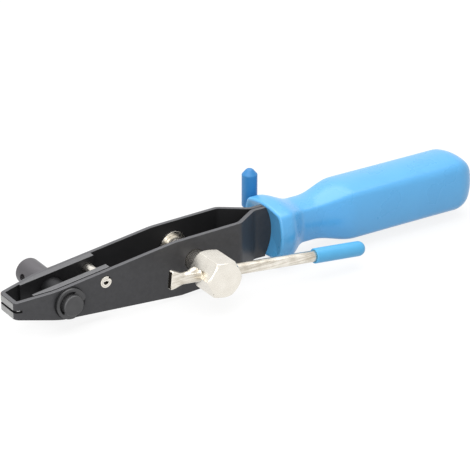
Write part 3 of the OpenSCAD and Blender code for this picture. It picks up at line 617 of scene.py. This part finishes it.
# Dipped caps: soft blue vinyl, dipped over the long end of the bar and the upright end of the
# lever. The dip leaves a rolled lip at the open end and a rounded or drained tip at the closed one.
vinyl, tree, place = new_material("dipped_vinyl")
clouds = add(tree, "ShaderNodeTexNoise", {"Vector": place, "Scale": 1 / (7 * mm), "Detail": 3.0})
tint = add(tree, "ShaderNodeMix", {"Factor": clouds.outputs["Fac"], "A": linear("#50aadd"),
                                   "B": linear("#5bb3e4")}, data_type="RGBA")
# The lever's cap is a darker blue than the bar's in the photo; why isn't known
deep = add(tree, "ShaderNodeAttribute", attribute_name="deep_blue")
tint = add(tree, "ShaderNodeMix", {"Factor": deep.outputs["Fac"], "A": tint.outputs["Result"],
                                   "B": linear("#2f80bd")}, data_type="RGBA")
runs = add(tree, "ShaderNodeTexNoise", {"Vector": place, "Scale": 1 / (3 * mm), "Detail": 2.0})
gloss = add(tree, "ShaderNodeMapRange", {"Value": clouds.outputs["Fac"], "To Min": 0.34,
                                         "To Max": 0.46})
finish_material(tree, tint.outputs["Result"], gloss.outputs["Result"], runs.outputs["Fac"],
                0.05 * mm, {"Metallic": 0.0, "IOR": 1.52})


def turn(name, profile, steps=64):
    """A turned piece on the Z axis. The profile lists radius and height; radius 0 is a pole."""
    work = bmesh.new()
    rings = []
    for r, z in profile:
        if r == 0:
            rings.append([work.verts.new((0, 0, z))] * steps)
        else:
            rings.append([work.verts.new((r * math.cos(2 * math.pi * k / steps),
                                          r * math.sin(2 * math.pi * k / steps), z))
                          for k in range(steps)])
    closed = profile[0][0] != 0
    for a, b in zip(rings, rings[1:] + ([rings[0]] if closed else [])):
        for k in range(steps):
            corners = [a[k], a[(k + 1) % steps], b[(k + 1) % steps], b[k]]
            unique = [v for n, v in enumerate(corners) if v not in corners[:n]]
            if len(unique) > 2:
                work.faces.new(unique)
    bmesh.ops.recalc_face_normals(work, faces=work.faces)
    mesh = bpy.data.meshes.new(name)
    work.to_mesh(mesh)
    work.free()
    made = bpy.data.objects.new(name, mesh)
    scene.collection.objects.link(made)
    return made


def arc(r, z, radius, start, end, steps):
    """Points of a round corner in a turned profile, centred at r and z."""
    angles = [math.radians(start + (end - start) * k / steps) for k in range(steps + 1)]
    return [(max(0, r + radius * math.cos(a)), z + radius * math.sin(a)) for a in angles]


cap_r, cap_open, cap_len, end_t = 3.5 * mm, 53.6 * mm, 28 * mm, 2.6 * mm
bore, lip = bar_r + 0.02 * mm, 0.35 * mm
closed_z = cap_open + cap_len
profile = [(0, closed_z - end_t + 0.02 * mm), (bore, closed_z - end_t + 0.02 * mm),
           (bore, cap_open + 0.1 * mm), (bore + 0.1 * mm, cap_open)]
profile += arc(cap_r - lip, cap_open + lip, lip, -90, 0, 6)
profile += [(cap_r, closed_z - cap_r - 8 * mm)]
profile += arc(0, closed_z - cap_r, cap_r, 0, 90, 14)[:-1] + [(0, closed_z)]
cap = turn("bar_cap", profile)
cap.data.transform(on_bar @ Matrix.Rotation(math.pi / 2, 4, "Y"))
shade(cap, 50)
place_on(cap, "bar", "blue_dip", vinyl, "sliding_bar_cap")

lever_r, lever_cap_r, lever_top, low = 2.3 * mm, 3.7 * mm, 21 * mm, 2.5 * mm
lever_x, lever_y = 49.7 * mm, 20.6 * mm
tip, tip_r, soft = 2.6 * mm, 1.6 * mm, 0.8 * mm
bore = lever_r + 0.02 * mm
profile = [(0, lever_top - 5.2 * mm + 0.02 * mm), (bore, lever_top - 5.2 * mm + 0.02 * mm),
           (bore, low + 0.1 * mm), (bore + 0.1 * mm, low)]
profile += arc(lever_cap_r - 0.4 * mm, low + 0.4 * mm, 0.4 * mm, -90, 0, 6)
profile += arc(lever_cap_r - soft, lever_top - tip - soft * 0.3, soft, 0, 45, 6)
profile += arc(tip_r - 0.5 * mm, lever_top - 0.9 * mm, 0.9 * mm, 45, 90, 6) + [(0, lever_top)]
cap = turn("lever_dip", profile)
cap.data.transform(Matrix.Translation((lever_x, lever_y, 0)))
shade(cap, 50)
mark_faces(cap, "deep_blue", lambda f: True)
place_on(cap, "cutter", "blue_dip", vinyl, "lever_cap")


# Cutter shaft: turned from tool steel in one piece with its knob, milled through for the band and
# left dark. The knob is cross-drilled for the lever, and the near end is chamfered.
shaft = merged_copy("cutter_shaft", "cutter_spindle")
round_edges(shaft, 0.15 * mm)
mark_faces(shaft, "handled", lambda f: f.center.y > 0)
place_on(shaft, "cutter", "tool_steel", turned_steel, "cutter_shaft")


# Lever: plated round rod through the knob, bent up at its free end, and the pin that is driven up
# through knob and rod to hold it.
bend, given = new_tree("bent_rod", Bend="Float", Radius="Float", Finish="Material")
path = add(bend, "GeometryNodeMeshToCurve", {"Mesh": given["Geometry"]})
round_bend = add(bend, "GeometryNodeFilletCurve", {"Curve": path.outputs["Curve"],
                                                   "Radius": given["Bend"], "Count": 20},
                 mode="POLY")
circle = add(bend, "GeometryNodeCurvePrimitiveCircle", {"Resolution": 48,
                                                        "Radius": given["Radius"]})
skin = add(bend, "GeometryNodeCurveToMesh", {"Curve": round_bend.outputs["Curve"],
                                             "Profile Curve": circle.outputs["Curve"],
                                             "Fill Caps": True})
whole = add(bend, "GeometryNodeRealizeInstances", {"Geometry": skin.outputs["Mesh"]})
dressed = add(bend, "GeometryNodeSetMaterial", {"Geometry": whole.outputs["Geometry"],
                                                "Material": given["Finish"]})
add(bend, "NodeGroupOutput", {"Geometry": dressed.outputs["Geometry"]})
rod_z = -4 * mm
rod = polyline("lever", [(-66.9 * mm, lever_y, rod_z), (lever_x, lever_y, rod_z),
                         (lever_x, lever_y, lever_top - 5.2 * mm)], False)
run_tree(rod, bend, Bend=6.5 * mm, Radius=lever_r, Finish=nickel)
tidy_mesh(rod)
shade(rod, 35)
place_on(rod, "cutter", "nickel", nickel, "lever_rod")
pin = merged_copy("lever_pin", "drive_pin")
round_edges(pin, 0.2 * mm)
place_on(pin, "cutter", "tool_steel", turned_steel, "lever_pin")


# Stage: a pale floor just under the tool, which keeps its soft shadow, and white all round.
# Camera, mirror and glass rays see white there, and only the lamps and the sky light the tool.
stage_white, tree, place = new_material("stage_white")
ray = add(tree, "ShaderNodeLightPath")
seen = add(tree, "ShaderNodeMath", {0: ray.outputs["Is Camera Ray"],
                                    1: ray.outputs["Is Glossy Ray"]}, operation="MAXIMUM")
seen = add(tree, "ShaderNodeMath", {0: seen.outputs["Value"],
                                    1: ray.outputs["Is Transmission Ray"]}, operation="MAXIMUM")
chalk = add(tree, "ShaderNodeBsdfDiffuse", {"Color": linear("#bcbcbc")})
paper = add(tree, "ShaderNodeBsdfDiffuse", {"Color": linear("#727272")})
glow = add(tree, "ShaderNodeEmission", {"Color": (1, 1, 1, 1), "Strength": 0.85})
lit = add(tree, "ShaderNodeAddShader", {0: paper.outputs["BSDF"], 1: glow.outputs["Emission"]})
mixed = add(tree, "ShaderNodeMixShader", {0: seen.outputs["Value"], 1: chalk.outputs["BSDF"],
                                          2: lit.outputs["Shader"]})
add(tree, "ShaderNodeOutputMaterial", {"Surface": mixed.outputs["Shader"]})
floor_z, reach = -17.2 * mm, 3.0
mesh = bpy.data.meshes.new("floor")
mesh.from_pydata([(-reach, -reach, floor_z), (reach, -reach, floor_z), (reach, reach, floor_z),
                  (-reach, reach, floor_z)], [], [(0, 1, 2, 3)])
mesh.materials.append(stage_white)
floor = bpy.data.objects.new("floor", mesh)
scene.collection.objects.link(floor)

world = bpy.data.worlds.new("sky")
scene.world = world
world.use_nodes = True
tree = world.node_tree
tree.nodes.clear()
ray = add(tree, "ShaderNodeLightPath")
seen = add(tree, "ShaderNodeMath", {0: ray.outputs["Is Camera Ray"],
                                    1: ray.outputs["Is Glossy Ray"]}, operation="MAXIMUM")
seen = add(tree, "ShaderNodeMath", {0: seen.outputs["Value"],
                                    1: ray.outputs["Is Transmission Ray"]}, operation="MAXIMUM")
level = add(tree, "ShaderNodeMapRange", {"Value": seen.outputs["Value"], "To Min": 0.5,
                                         "To Max": 1.0})
sky = add(tree, "ShaderNodeBackground", {"Color": (1, 1, 1, 1),
                                         "Strength": level.outputs["Result"]})
add(tree, "ShaderNodeOutputWorld", {"Surface": sky.outputs["Background"]})

for name, spot, aim, size, power in (
        ("overhead", (0.0, 0.1, 0.7), (0.03, 0, 0), 1.0, 6.4),
        ("left_front", (-0.6, -0.5, 0.35), (0.0, 0, 0), 0.8, 3.6)):
    lamp = bpy.data.lights.new(name, "AREA")
    lamp.size = size
    lamp.energy = power
    holder = bpy.data.objects.new(name, lamp)
    holder.location = spot
    holder.rotation_euler = (Vector(aim) - Vector(spot)).to_track_quat("-Z", "Y").to_euler()
    scene.collection.objects.link(holder)

camera_data = bpy.data.cameras.new("camera")
camera_data.lens = 168.5
camera_data.sensor_width = 36
camera_data.clip_start = 0.01
camera = bpy.data.objects.new("camera", camera_data)
back = Vector((-0.4944, -0.7613, 0.4195))
camera.location = Vector((28.3 * mm, 0, 0.7 * mm)) + back
camera.rotation_euler = back.to_track_quat("Z", "Y").to_euler()
scene.collection.objects.link(camera)
scene.camera = camera
scene.view_settings.view_transform = "Standard"
